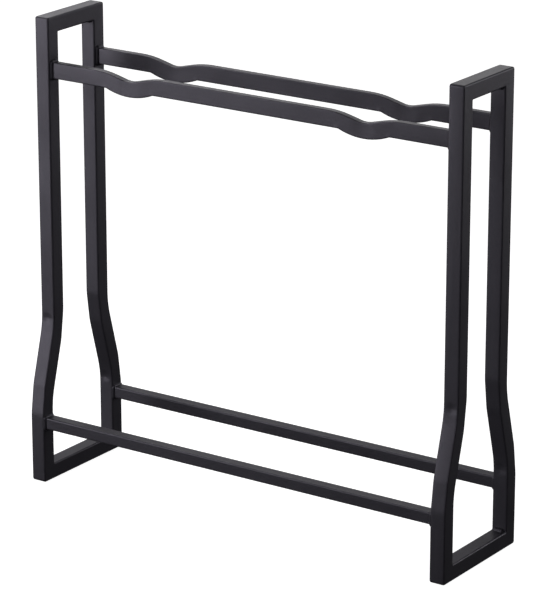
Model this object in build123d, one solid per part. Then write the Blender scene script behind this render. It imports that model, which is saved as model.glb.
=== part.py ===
# Firewood log rack: two bent and mitred side frames of square tube, joined by
# two dipped rails at the top and two square rails near the floor, all welded.
# +X runs along the rails, -Y is the front, +Z is up.
# The origin is on the floor, at the centre of the footprint. Sizes are in mm.
import os
from math import atan2, cos, sin, tan

from build123d import *

# Overall sizes
length = 600.0            # over the outer faces of the side frames
height = 585.0
top_depth = 110.0         # over the straight upper part of a side frame
foot_depth = 160.0        # over the feet

# Square tube of the side frames
tube = 20.0
tube_wall = 1.5
tube_edge = 2.0           # rounding of the tube's long edges
ground_corner = 3.0       # where the mitre welds are ground flush outside
window_corner = 0.8       # sharp inside corners of a frame
least_corner = 0.5        # smallest rounding of a corner inside a tube
bend_high_z = 197.0       # where the post's centre line starts to lean out
bend_low_z = 106.0        # and where it is upright again
bend_hollow = 107.0       # radius of the hollow side of a bend
bend_kink = 60.0          # the outer side is two kinks of this radius, with a flat between
bend_flat = 19.0          # from a kink to the corner that the flat cuts off

# Flat tube of the upper rails
upper_high = 20.0
upper_thick = 10.0
upper_wall = 1.2
upper_edge = 1.5
upper_top_z = 530.0
dip_x = 165.0             # from the middle of the rack to the middle of a dip
dip_half_top = 37.5       # half the width of a dip along the top edge
dip_half_bottom = 34.5    # half its width along the bottom edge
dip_depth_top = 9.1       # to the point where the two slopes would meet
dip_depth_bottom = 7.0
dip_shoulder = 120.0      # radius of the shoulders of the top edge
dip_valley = 32.0         # radius of the valley of the top edge
dip_kink = 1.0            # radius of the creases in the bottom edge

# Square tube of the lower rails
lower_size = 15.0
lower_wall = 1.2
lower_edge = 1.8
lower_top_z = 85.0

# Weld beads
upper_bead = 3.0          # leg of the bead around the end of an upper rail
lower_bead = 2.2          # leg of the bead around the end of a lower rail
corner_bead = 4.0         # leg of the bead inside a frame corner
bead_lip = 0.4            # thickness of a bead at its thin end
bead_bite = 1.0           # how far a raw bead reaches into the tube, to be cut back

# Worked out from the sizes above
half_length = length / 2
rail_end = half_length - tube
lean = atan2((foot_depth - top_depth) / 2, bend_high_z - bend_low_z)
upper_y = (top_depth - tube) / 2
lower_y = (foot_depth - tube) / 2
beyond = 60.0             # how far cutting shapes reach past the part
hair = 0.01               # two places nearer than this are the same


def prism(face, width, middle):
    """A flat outline in the YZ plane, made into a bar across the rack."""
    return extrude(Plane.YZ.offset(middle - width / 2) * face, width)


def long_edges(solid, axis, at):
    """The edges that lie in either end plane of a bar."""
    ends = [solid.edges().filter_by_position(axis, place, place) for place in at]
    return ends[0] + ends[1]


def bend_corner(y, z, rise, run):
    """The two kinks that cut off the corner of a post's outer side at this bend."""
    return [(y - rise * sin(lean), z + rise * cos(lean)), (y, z + run)]


def frame_outline(depth):
    """A closed loop at this depth below the outer skin of a side frame."""
    top = top_depth / 2 - depth
    foot = foot_depth / 2 - depth
    shift = (tube / 2 - depth) * tan(lean / 2)
    high, low = bend_high_z + shift, bend_low_z + shift
    if depth < tube / 2:
        corner = max(ground_corner - depth, least_corner)
        bends = [(top, high)] + bend_corner(foot, low, bend_flat, -bend_flat)
        radii = [bend_hollow + depth, bend_kink - depth, bend_kink - depth]
    else:
        corner = window_corner + tube - depth
        bends = bend_corner(top, high, -bend_flat, bend_flat)[::-1] + [(foot, low)]
        radii = [bend_kink - tube + depth] * 2 + [bend_hollow + tube - depth]
    back = [(top, height - depth)] + bends + [(foot, depth)]
    front = [(-y, z) for y, z in reversed(back)]
    radii = [corner] + radii + [corner]
    return make_face(FilletPolyline(*back, *front, radius=radii + radii[::-1], close=True))


def frame_skin(middle):
    """The outer shape of a side frame, as if its tubes were solid."""
    ring = prism(frame_outline(0) - frame_outline(tube), tube, middle)
    sides = (middle - tube / 2, middle + tube / 2)
    return fillet(long_edges(ring, Axis.X, sides), tube_edge)


def frame_void(middle):
    """The space inside the tubes of a side frame."""
    hollow = frame_outline(tube_wall) - frame_outline(tube - tube_wall)
    return prism(hollow, tube - 2 * tube_wall, middle)


def mitre_wedge(points, middle):
    """A block whose slanted sides are the mitre cuts of one tube."""
    return prism(make_face(Polyline(*points, close=True)), tube + beyond, middle)


def frame_wedges(middle):
    """One block for each of the four tubes of a side frame."""
    top, foot = top_depth / 2, foot_depth / 2
    reach = 40.0              # along a mitre line, into the open window
    over = 10.0               # along the same line, past the outside corner
    deep = reach + tube
    high_bar = [(-top - over, height + over), (top + over, height + over),
                (top - reach, height - reach), (-top + reach, height - reach)]
    low_bar = [(-foot - over, -over), (foot + over, -over),
               (foot - reach, reach), (-foot + reach, reach)]
    back_post = [(top + over, height + over), (top - reach, height - reach),
                 (foot - deep, deep), (foot + over, -over),
                 (foot + beyond, -over), (foot + beyond, height + over)]
    front_post = [(-y, z) for y, z in back_post]
    shapes = {"top_bar": high_bar, "bottom_bar": low_bar,
              "front_post": front_post, "back_post": back_post}
    return {name: mitre_wedge(points, middle) for name, points in shapes.items()}


def dipped_edge(level, depth, half, shoulder, valley):
    """One long edge of an upper rail, with straight slopes down into each dip."""
    points = [(-rail_end, level)]
    for middle in (-dip_x, dip_x):
        points += [(middle - half, level), (middle, level - depth), (middle + half, level)]
    points.append((rail_end, level))
    return FilletPolyline(*points, radius=[shoulder, valley, shoulder] * 2)


def bowed_edge(level, depth, half):
    """The other long edge, where each dip is one arc between two creases."""
    edges, start = [], (-rail_end, level)
    for middle in (-dip_x, dip_x):
        near, lowest, far = (middle - half, level), (middle, level - depth), (middle + half, level)
        edges += [Line(start, near), ThreePointArc(near, lowest, far)]
        start = far
    return edges + [Line(start, (rail_end, level))]


def rail_outline(inset, top_z, bottom_z):
    """The tall side of an upper rail; inset makes the smaller outline of its inside."""
    top, bottom = top_z - inset, bottom_z + inset
    half_bottom = dip_half_bottom - inset * dip_depth_bottom / dip_half_bottom
    upper = dipped_edge(top, dip_depth_top, dip_half_top, dip_shoulder - inset, dip_valley + inset)
    lower = bowed_edge(bottom, dip_depth_bottom, half_bottom)
    ends = [Line((x, top), (x, bottom)) for x in (-rail_end, rail_end)]
    outline = make_face(upper.edges() + ShapeList(lower + ends))
    creases = [corner for corner in outline.vertices()
               if abs(corner.Y - bottom) < hair and abs(corner.X) < rail_end - hair]
    return fillet(creases, dip_kink + inset)


def upper_bar(outline, thick, middle_y):
    """A flat outline in the XZ plane, made into a bar that is this thick."""
    return extrude(Plane.XZ.offset(-middle_y - thick / 2) * outline, thick)


def upper_rail(middle_y):
    bottom_z = upper_top_z - upper_high
    body = upper_bar(rail_outline(0, upper_top_z, bottom_z), upper_thick, middle_y)
    faces = (middle_y - upper_thick / 2, middle_y + upper_thick / 2)
    rims = long_edges(body, Axis.Y, faces)
    along = [edge for edge in rims if abs(abs(edge.center().X) - rail_end) > hair]
    body = fillet(along, upper_edge)
    inside = rail_outline(upper_wall, upper_top_z, bottom_z)
    return body - upper_bar(inside, upper_thick - 2 * upper_wall, middle_y)


def lower_rail(middle_y):
    middle = Location((0, middle_y, lower_top_z - lower_size / 2))
    body = Box(2 * rail_end, lower_size, lower_size)
    body = fillet(body.edges().filter_by(Axis.X), lower_edge)
    inner = lower_size - 2 * lower_wall
    return middle * (body - Box(2 * rail_end, inner, inner))


def end_bead(side, middle_y, middle_z, wide, high, edge, leg, skin):
    """The fillet weld around the end of a rail, cut to lie on the post."""
    def ring(x, grow):
        size = RectangleRounded(wide + 2 * grow, high + 2 * grow, edge + grow)
        return Plane((x, middle_y, middle_z), x_dir=(0, 1, 0), z_dir=(1, 0, 0)) * size
    thin = side * (rail_end - leg)
    thick = side * rail_end
    root = side * (rail_end + bead_bite)
    slope = loft([ring(thin, bead_lip), ring(thick, leg)])
    collar = extrude(ring(min(thick, root), leg), bead_bite)
    hole = extrude(ring(min(thin, root), 0), leg + bead_bite)
    return slope + collar - hole - skin


def inner_bead(middle, y, z, toward_y, toward_z, skin):
    """The fillet weld across the inside of one frame corner."""
    points = [(-bead_bite, -bead_bite), (corner_bead, -bead_bite), (corner_bead, bead_lip),
              (bead_lip, corner_bead), (-bead_bite, corner_bead)]
    placed = [(y + toward_y * a, z + toward_z * b) for a, b in points]
    bead = prism(make_face(Polyline(*placed, close=True)), tube - 2 * tube_edge, middle)
    return bead - skin


def side_frame(side_name, side):
    """The four tubes of one side frame and the welds in its inside corners."""
    middle = side * (half_length - tube / 2)
    skin = frame_skin(middle)
    hollow = skin - frame_void(middle)
    nodes = {f"{side_name}_{name}": hollow & wedge for name, wedge in frame_wedges(middle).items()}
    for end_name, end in (("front", -1), ("back", 1)):
        top_y = end * (top_depth / 2 - tube)
        foot_y = end * (foot_depth / 2 - tube)
        nodes[f"{side_name}_{end_name}_top_weld"] = inner_bead(
            middle, top_y, height - tube, -end, -1, skin)
        nodes[f"{side_name}_{end_name}_foot_weld"] = inner_bead(
            middle, foot_y, tube, -end, 1, skin)
        nodes[f"{side_name}_{end_name}_upper_rail_weld"] = end_bead(
            side, end * upper_y, upper_top_z - upper_high / 2,
            upper_thick, upper_high, upper_edge, upper_bead, skin)
        nodes[f"{side_name}_{end_name}_lower_rail_weld"] = end_bead(
            side, end * lower_y, lower_top_z - lower_size / 2,
            lower_size, lower_size, lower_edge, lower_bead, skin)
    return nodes


def build():
    nodes = {}
    for side_name, side in (("left", -1), ("right", 1)):
        nodes.update(side_frame(side_name, side))
    for end_name, end in (("front", -1), ("back", 1)):
        nodes[f"{end_name}_upper_rail"] = upper_rail(end * upper_y)
        nodes[f"{end_name}_lower_rail"] = lower_rail(end * lower_y)
    return nodes


os.makedirs("parts", exist_ok=True)
for name, shape in build().items():
    solids = shape.solids()
    export_step(solids[0] if len(solids) == 1 else Compound(children=solids), f"parts/{name}.step")
    print(name, len(solids), "solid", round(sum(solid.volume for solid in solids)), "mm3")
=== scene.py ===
from math import radians

import bmesh
import bpy
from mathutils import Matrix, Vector


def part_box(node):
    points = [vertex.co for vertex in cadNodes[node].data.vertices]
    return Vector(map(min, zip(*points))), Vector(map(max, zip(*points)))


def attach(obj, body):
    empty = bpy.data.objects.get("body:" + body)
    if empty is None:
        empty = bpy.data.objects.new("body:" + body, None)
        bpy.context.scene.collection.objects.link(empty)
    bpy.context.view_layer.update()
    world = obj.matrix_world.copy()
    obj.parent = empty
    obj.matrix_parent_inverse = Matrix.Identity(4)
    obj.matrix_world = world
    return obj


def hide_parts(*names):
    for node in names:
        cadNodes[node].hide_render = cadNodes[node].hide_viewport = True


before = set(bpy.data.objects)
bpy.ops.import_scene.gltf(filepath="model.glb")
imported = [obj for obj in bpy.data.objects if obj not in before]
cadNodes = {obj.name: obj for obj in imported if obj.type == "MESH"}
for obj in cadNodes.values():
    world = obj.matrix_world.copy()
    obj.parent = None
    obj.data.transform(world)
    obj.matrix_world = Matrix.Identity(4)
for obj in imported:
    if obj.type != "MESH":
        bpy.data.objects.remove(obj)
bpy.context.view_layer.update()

sideWays = {"left": 1, "right": -1}   # from each side frame towards the middle, along X
endWays = {"front": -1, "back": 1}    # the way each end faces, along Y
hair = 1e-5                           # metres: nearer than this is the same place
noiseMiddle = 0.5                     # noises run from 0 to 1
print("rack loaded:", len(cadNodes), "nodes")


class Wire:  # the output of a node, used in sums like a number
    def __init__(self, bench, socket):
        self.bench = bench
        self.socket = socket

    def join(self, operation, first, second):
        return self.bench.add("ShaderNodeMath", {"operation": operation}, {0: first, 1: second})

    def __add__(self, other):
        return self.join("ADD", self, other)

    def __radd__(self, other):
        return self.join("ADD", other, self)

    def __sub__(self, other):
        return self.join("SUBTRACT", self, other)

    def __rsub__(self, other):
        return self.join("SUBTRACT", other, self)

    def __mul__(self, other):
        return self.join("MULTIPLY", self, other)

    def __rmul__(self, other):
        return self.join("MULTIPLY", other, self)


class Bench:  # where the nodes of one material are put together
    def __init__(self, name):
        self.material = bpy.data.materials.new(name)
        self.material.use_nodes = True
        self.tree = self.material.node_tree
        self.tree.nodes.clear()

    def add(self, kind, settings, sockets, output=0):
        node = self.tree.nodes.new(kind)
        for name, value in settings.items():
            setattr(node, name, value)
        for name, value in sockets.items():
            if isinstance(value, Wire):
                self.tree.links.new(value.socket, node.inputs[name])
            else:
                node.inputs[name].default_value = value
        return Wire(self, node.outputs[output]) if node.outputs else None


powderCoat = {
    "thick": (0.0150, 0.0143, 0.0180, 1.0),  # black with a little violet in it
    "thin": (0.0230, 0.0220, 0.0270, 1.0),
    "sheen": (0.88, 0.82, 1.0, 1.0),         # the cool tint of its highlights
    "roughness": 0.47,
    "uneven": 0.22,        # how much the roughness varies over patches, and again over grains
    "sand": 0.0008,        # metres across one grain
    "sandDetail": 2.0,
    "peel": 0.0032,        # across one dimple of the orange peel
    "peelDetail": 1.0,
    "patch": 0.07,         # across a patch that is a little shinier
    "patchDetail": 3.0,
    "sandShare": 0.4,      # of the grain, in the colour and in the bumps
    "bump": 0.00018,       # metres from the top of a grain to its foot
    "bumpStrength": 0.8,
    "beadBump": 1.2,       # times as bumpy on the weld beads
    "ior": 1.5,
}


def makePowderCoat(name, bumpTimes):
    look = powderCoat
    bench = Bench(name)
    place = bench.add("ShaderNodeTexCoord", {}, {}, "Object")

    def noise(size):
        sockets = {"Vector": place, "Scale": 1 / look[size], "Detail": look[size + "Detail"]}
        return bench.add("ShaderNodeTexNoise", {}, sockets)

    sand = noise("sand")
    peel = noise("peel")
    patch = noise("patch")
    grainy = look["sandShare"]
    mix = {"Factor": patch * (1 - grainy) + sand * grainy, "A": look["thick"], "B": look["thin"]}
    color = bench.add("ShaderNodeMix", {"data_type": "RGBA"}, mix, "Result")
    spread = (patch - noiseMiddle) * look["uneven"] + (sand - noiseMiddle) * look["uneven"]
    roughness = look["roughness"] + spread
    bump = bench.add("ShaderNodeBump", {}, {
        "Height": sand * grainy + peel * (1 - grainy),
        "Strength": look["bumpStrength"],
        "Distance": look["bump"] * bumpTimes})
    shader = bench.add("ShaderNodeBsdfPrincipled", {}, {
        "Base Color": color,
        "Roughness": roughness,
        "Normal": bump,
        "IOR": look["ior"],
        "Specular Tint": look["sheen"]})
    bench.add("ShaderNodeOutputMaterial", {}, {"Surface": shader})
    return bench.material


tubeCoat = makePowderCoat("tubeCoat", 1)
beadCoat = makePowderCoat("beadCoat", powderCoat["beadBump"])
for node in cadNodes.values():
    for slot in node.material_slots:
        slot.material = tubeCoat
print("powder coat on the tubes")


def pickUp(piece):  # this piece alone is selected
    bpy.ops.object.select_all(action="DESELECT")
    piece.select_set(True)
    bpy.context.view_layer.objects.active = piece


def beginEdit(piece):  # all of the piece is selected, in edit mode
    pickUp(piece)
    bpy.ops.object.mode_set(mode="EDIT")
    bpy.ops.mesh.select_all(action="SELECT")


def pick(piece, wanted):  # selects the vertices that wanted() says yes to
    mesh = bmesh.from_edit_mesh(piece.data)
    for vertex in mesh.verts:
        vertex.select = wanted(vertex)
    mesh.select_flush_mode()
    bmesh.update_edit_mesh(piece.data)


def pickNearest(piece, place):
    mesh = bmesh.from_edit_mesh(piece.data)
    nearest = min(mesh.verts, key=lambda vertex: (vertex.co - Vector(place)).length)
    chosen = nearest.index
    pick(piece, lambda vertex: vertex.index == chosen)


def applyPlace(piece):
    pickUp(piece)
    bpy.ops.object.transform_apply(location=True, rotation=True, scale=True)


def finishPiece(piece, node, material, smoothAngle):
    bpy.ops.object.mode_set(mode="OBJECT")
    applyPlace(piece)
    bpy.ops.object.shade_smooth_by_angle(angle=radians(smoothAngle))
    piece.data.materials.clear()
    piece.data.materials.append(material)
    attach(piece, "root")
    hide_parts(node)


# Posts and upper rails start from the CAD shape, are sliced finely where the metal was
# pressed, and are then pushed in or pulled out there.
tubeCopy = {
    "merge": 1e-6,         # metres between corners that are the same one
    "flatAngle": 0.2,      # degrees between triangles that are one flat face
    "smoothAngle": 30,
}


def copyNode(node):
    piece = bpy.data.objects.new(f"{node}_tube", cadNodes[node].data.copy())
    bpy.context.collection.objects.link(piece)
    beginEdit(piece)
    bpy.ops.mesh.customdata_custom_splitnormals_clear()
    bpy.ops.mesh.remove_doubles(threshold=tubeCopy["merge"])
    bpy.ops.mesh.dissolve_limited(angle_limit=radians(tubeCopy["flatAngle"]))
    return piece


def cutAcross(piece, way, start, end, step, middle=None, span=0):
    # slices the piece at even steps along X (way 0) or Z (way 2); with a middle and a span,
    # only the stretch of the other direction that is within that span of the middle
    normal = [0, 0, 0]
    normal[way] = 1
    other = 2 - way
    count = round((end - start) / step)
    for k in range(count + 1):
        place = start + (end - start) * k / count
        pick(piece, lambda vertex: middle is None or abs(vertex.co[other] - middle) < span + hair)
        bpy.ops.mesh.bisect(plane_co=[place * part for part in normal], plane_no=normal)


def press(piece, place, push, reach):  # moves the skin at place, and less and less around it
    pickNearest(piece, place)
    bpy.ops.transform.translate(value=push, use_proportional_edit=True,
                                proportional_edit_falloff="SMOOTH", proportional_size=reach)


postDents = {             # the hollow side of each bend is dented; metres
    "deep": 0.0010,       # at the middle of a dent
    "reach": 0.0095,      # from its middle to where it fades out
    "upperZ": 0.206,
    "lowerZ": 0.0985,
    "cut": 0.0024,        # between the slices
    "span": 0.0168,       # sliced above and below a dent's middle
    "edge": 0.002,        # rounding of the tube's long edges, which isn't sliced
}


def makePost(sideName, endName):
    look = postDents
    end = endWays[endName]
    node = f"{sideName}_{endName}_post"
    barLow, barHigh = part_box(f"{sideName}_top_bar")
    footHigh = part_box(f"{sideName}_bottom_bar")[1]
    tube = barHigh.x - barLow.x
    middle = (barHigh.x + barLow.x) / 2
    flat = tube / 2 - look["edge"]
    span = look["span"]
    # the upper dent is on the outer face and the lower one faces the window
    dents = ((look["upperZ"], end * barHigh.y, -end), (look["lowerZ"], end * (footHigh.y - tube), end))
    piece = copyNode(node)
    for z, y, push in dents:
        cutAcross(piece, 2, z - span, z + span, look["cut"])
        cutAcross(piece, 0, middle - flat, middle + flat, look["cut"], z, span)
        press(piece, (middle, y, z), (0, push * look["deep"], 0), look["reach"])
    finishPiece(piece, node, tubeCoat, tubeCopy["smoothAngle"])


for sideName in sideWays:
    for endName in endWays:
        makePost(sideName, endName)
print("posts dented at their bends")


railSizes = {  # height, and rounding of the long edges
    "upper": (0.020, 0.0015),
    "lower": (0.015, 0.0018),
}
dipMarks = {               # left by the press on the tall sides of an upper rail; metres
    "dipX": 0.165,
    "creaseX": 0.0345,     # from the middle of a dip to a crease in the bottom edge
    "creaseUp": 0.0022,    # from the bottom edge to the middle of the fold beside it
    "foldOut": 0.00045,
    "foldReach": 0.0045,
    "hollowDeep": 0.0007,
    "hollowReach": 0.017,
    "hollowDown": 0.0135,  # from the top of the rail
    "cut": 0.0025,         # between the slices
    "span": 0.0445,        # sliced either side of the middle of a dip
}


def makeUpperRail(endName):
    look = dipMarks
    node = f"{endName}_upper_rail"
    low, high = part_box(node)
    railHigh, edge = railSizes["upper"]
    creaseZ = high.z - railHigh + look["creaseUp"]
    hollowZ = high.z - look["hollowDown"]
    piece = copyNode(node)
    for dipX in (-look["dipX"], look["dipX"]):
        cutAcross(piece, 0, dipX - look["span"], dipX + look["span"], look["cut"])
        cutAcross(piece, 2, low.z + edge, high.z - edge, look["cut"], dipX, look["span"])
        for y, inward in ((low.y, 1), (high.y, -1)):
            press(piece, (dipX, y, hollowZ), (0, inward * look["hollowDeep"], 0), look["hollowReach"])
            for creaseX in (dipX - look["creaseX"], dipX + look["creaseX"]):
                press(piece, (creaseX, y, creaseZ), (0, -inward * look["foldOut"], 0), look["foldReach"])
    finishPiece(piece, node, tubeCoat, tubeCopy["smoothAngle"])


for endName in endWays:
    makeUpperRail(endName)
print("upper rails marked at their dips")


bead = {                  # what all weld beads share; metres
    "ripple": 0.00062,    # along the bead, from a crest to the next trough
    "swell": 0.00012,     # how far a crest stands up
    "uneven": 0.00010,
    "fullness": 0.42,     # 0.25 is a flat bead and 0.5 a round one
    "rounding": 0.97,     # of a leg, taken off the outer corner of the bead's slice
    "steps": 4,           # across the bead
    "turnSteps": 5,       # around each corner of a rail
    "into": 0.00025,      # how deep it lies in the tubes
    "bite": 0.0013,       # how deep the ring around a rail goes into the post
    "seam": 0.0001,       # the ends of a ring are nearer than this
    "smoothAngle": 60,
    "seed": 7,
}


def beginBead(name, leg, deep):
    # the slice of a bead in the XZ plane, without its face, open in edit mode: its legs lie
    # along +X and +Z, and it goes this deep below X = 0
    bpy.ops.object.select_all(action="DESELECT")
    bpy.ops.mesh.primitive_plane_add(size=1)
    piece = bpy.context.object
    piece.name = name
    piece.scale = (leg + deep, leg + bead["into"], 1)
    piece.rotation_euler = (radians(90), 0, 0)
    piece.location = ((leg - deep) / 2, 0, (leg - bead["into"]) / 2)
    applyPlace(piece)
    beginEdit(piece)
    pick(piece, lambda vertex: min(vertex.co.x, vertex.co.z) > leg / 2)
    bpy.ops.mesh.bevel(affect="VERTICES", offset=leg * bead["rounding"],
                       segments=bead["steps"], profile=bead["fullness"])
    bpy.ops.mesh.select_all(action="SELECT")
    bpy.ops.mesh.delete(type="ONLY_FACE")
    bpy.ops.mesh.select_all(action="SELECT")
    return piece, len(bmesh.from_edit_mesh(piece.data).verts)


def slide(way, distance):  # carries the open end of the bead along, in ripples
    count = max(round(distance / bead["ripple"]), 1)
    step = [part * distance / count for part in way]
    for _ in range(count):
        bpy.ops.mesh.extrude_edges_move(TRANSFORM_OT_translate={"value": step})


def raiseRipples(piece, sliceSize):  # every second slice stands up a little
    pick(piece, lambda vertex: (vertex.index // sliceSize) % 2 == 1)
    bpy.ops.transform.shrink_fatten(value=bead["swell"])


def roughen(piece):  # uneven, as laid by hand, and then melted smooth
    bpy.ops.mesh.select_all(action="SELECT")
    bpy.ops.transform.vertex_random(offset=bead["uneven"], seed=bead["seed"])
    bpy.ops.mesh.normals_make_consistent(inside=False)
    bpy.ops.object.mode_set(mode="OBJECT")
    smooth = piece.modifiers.new("smooth", "SUBSURF")
    smooth.levels = smooth.render_levels = 1
    bpy.ops.object.modifier_apply(modifier=smooth.name)


def modelRingBead(wide, high, edge, leg):
    # goes around a rail that points along +X from a post's face at X = 0
    piece, sliceSize = beginBead("ring_bead_model", leg, bead["bite"])
    bpy.ops.transform.translate(value=(0, 0, high / 2))
    y = wide / 2 - edge
    z = high / 2 - edge
    slide((0, 1, 0), y)
    # each corner of the rail, then the straight run after it
    runs = (((y, z), (0, 0, -1), 2 * z), ((y, -z), (0, -1, 0), 2 * y),
            ((-y, -z), (0, 0, 1), 2 * z), ((-y, z), (0, 1, 0), y))
    for corner, way, distance in runs:
        bpy.ops.mesh.spin(steps=bead["turnSteps"], angle=radians(90), center=(0, *corner), axis=(1, 0, 0))
        slide(way, distance)
    raiseRipples(piece, sliceSize)
    bpy.ops.mesh.select_all(action="SELECT")
    bpy.ops.mesh.remove_doubles(threshold=bead["seam"])
    roughen(piece)
    return piece


def placeCopies(model, places):  # each copy gets its own mesh, and the model is thrown away
    for name, node, spot, flip in places:
        piece = bpy.data.objects.new(name, model.data.copy())
        bpy.context.collection.objects.link(piece)
        piece.location = spot
        piece.scale = flip
        applyPlace(piece)
        beginEdit(piece)
        bpy.ops.mesh.normals_make_consistent(inside=False)
        finishPiece(piece, node, beadCoat, bead["smoothAngle"])
    bpy.data.objects.remove(model)


def makeRailBeads(kind):
    railHigh, edge = railSizes[kind]
    weldLow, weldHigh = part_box(f"left_front_{kind}_rail_weld")
    leg = (weldHigh.z - weldLow.z - railHigh) / 2
    places = []
    for sideName, side in sideWays.items():
        for endName in endWays:
            low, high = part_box(f"{endName}_{kind}_rail")
            railEnd = low.x if side == 1 else high.x
            spot = (railEnd, (low.y + high.y) / 2, high.z - railHigh / 2)
            start = f"{sideName}_{endName}_{kind}_rail"
            places.append((start + "_bead", start + "_weld", spot, (side, 1, 1)))
    placeCopies(modelRingBead(high.y - low.y, railHigh, edge, leg), places)


for kind in railSizes:
    makeRailBeads(kind)
print("rail ends welded")


cornerBead = {            # across the inside of a frame's corner; metres
    "long": 0.0135,
    "leg": 0.0036,
    "ends": (0.30, 0.62, 0.86, 1.0),  # how full it is at each step in from an end
    "endStep": 0.0006,
}


def modelCornerBead():  # made along +Y, then turned to lie along X, with its legs along -Y and +Z
    look = cornerBead
    full = look["ends"]
    growths = [after / before for before, after in zip(full, full[1:])]
    shrinks = [1 / growth for growth in reversed(growths)]
    taper = look["endStep"] * len(growths)
    piece, sliceSize = beginBead("corner_bead_model", look["leg"], bead["into"])

    def taperOff(start, changes):
        for step, change in enumerate(changes, 1):
            bpy.ops.mesh.extrude_edges_move(TRANSFORM_OT_translate={"value": (0, look["endStep"], 0)})
            bpy.ops.transform.resize(value=(change, 1, change),
                                     center_override=(0, start + step * look["endStep"], 0))

    bpy.ops.transform.resize(value=[full[0]] * 3, center_override=(0, 0, 0))
    bpy.ops.mesh.edge_face_add()
    bpy.ops.mesh.select_all(action="SELECT")
    taperOff(0, growths)
    slide((0, 1, 0), look["long"] - 2 * taper)
    taperOff(look["long"] - taper, shrinks)
    bpy.ops.mesh.edge_face_add()
    raiseRipples(piece, sliceSize)
    roughen(piece)
    piece.rotation_euler = (0, 0, radians(-90))
    piece.location = (-look["long"] / 2, 0, 0)
    applyPlace(piece)
    return piece


def makeCornerBeads():
    places = []
    for sideName in sideWays:
        for level, bar, up in (("top", "top_bar", -1), ("foot", "bottom_bar", 1)):
            low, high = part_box(f"{sideName}_{bar}")
            tube = high.x - low.x
            z = low.z + tube if up == 1 else high.z - tube
            for endName, end in endWays.items():
                start = f"{sideName}_{endName}_{level}"
                spot = ((low.x + high.x) / 2, end * (high.y - tube), z)
                places.append((start + "_bead", start + "_weld", spot, (1, end, up)))
    placeCopies(modelCornerBead(), places)


makeCornerBeads()
print("frame corners welded inside")


studio = {
    "paper": (0.55, 0.55, 0.55, 1.0),
    "paperSize": 24.0,
    "paperRoughness": 0.9,
    "glow": (1.0, 1.0, 1.0, 1.0),   # the paper is lit from below, like a light table
    "glowStrength": 0.92,
    "air": (1.0, 1.0, 1.0, 1.0),
    "airStrength": 0.02,
}
softBoxes = {  # place, what it faces, width, height, power in watts
    "topBox": ((-0.25, 0.85, 1.0), (0.29, 0, 0.585), 0.6, 0.4, 1.1),
    "topLeftBox": ((-0.9, 0.5, 1.3), (0, 0, 0.5), 0.8, 0.6, 6.6),
    "keyBox": ((-1.9, -2.0, 1.5), (0, 0, 0.3), 1.2, 1.6, 16.5),
    "lowKeyBox": ((-1.9, -2.0, 0.6), (0, 0, 0.3), 1.2, 2.0, 41),
    "fillBox": ((1.6, -3.0, 1.3), (0, 0, 0.3), 1.2, 1.6, 26),
    "rightBackBox": ((1.8, 2.2, 0.9), (0, 0, 0.3), 1.8, 1.6, 25),
    "leftBackBox": ((-1.8, 2.2, 0.9), (0, 0, 0.3), 1.8, 1.6, 5),
}
cameraStand = {
    "place": (2.090, -3.039, 1.467),
    "turn": 34.47,        # degrees to the left of straight back
    "tilt": 18.0,         # degrees down from level
    "lens": 195.66,       # millimetres
}


def makeFloor():
    bpy.ops.mesh.primitive_plane_add(size=studio["paperSize"], location=(0, 0, 0))
    floor = bpy.context.object
    floor.name = "studio_floor"
    bench = Bench("floorPaper")
    shader = bench.add("ShaderNodeBsdfPrincipled", {}, {
        "Base Color": studio["paper"],
        "Roughness": studio["paperRoughness"],
        "Emission Color": studio["glow"],
        "Emission Strength": studio["glowStrength"]})
    bench.add("ShaderNodeOutputMaterial", {}, {"Surface": shader})
    floor.data.materials.append(bench.material)
    floor.visible_diffuse = False  # only the soft boxes light the rack
    floor.visible_glossy = False


def makeLights():
    world = bpy.data.worlds.new("studio")
    bpy.context.scene.world = world
    world.use_nodes = True
    air = world.node_tree.nodes["Background"]
    air.inputs["Color"].default_value = studio["air"]
    air.inputs["Strength"].default_value = studio["airStrength"]
    for name, (place, target, width, height, power) in softBoxes.items():
        aim = (Vector(target) - Vector(place)).to_track_quat("-Z", "Y").to_euler()
        bpy.ops.object.light_add(type="AREA", location=place, rotation=aim)
        light = bpy.context.object
        light.name = name
        light.data.shape = "RECTANGLE"
        light.data.size = width
        light.data.size_y = height
        light.data.energy = power
        light.visible_camera = False


def makeCamera():
    stand = cameraStand
    turn = (radians(90 - stand["tilt"]), 0, radians(stand["turn"]))
    bpy.ops.object.camera_add(location=stand["place"], rotation=turn)
    camera = bpy.context.object
    camera.data.lens = stand["lens"]
    bpy.context.scene.camera = camera


makeFloor()
makeLights()
makeCamera()
bpy.context.scene.view_settings.view_transform = "Standard"
print("studio ready")
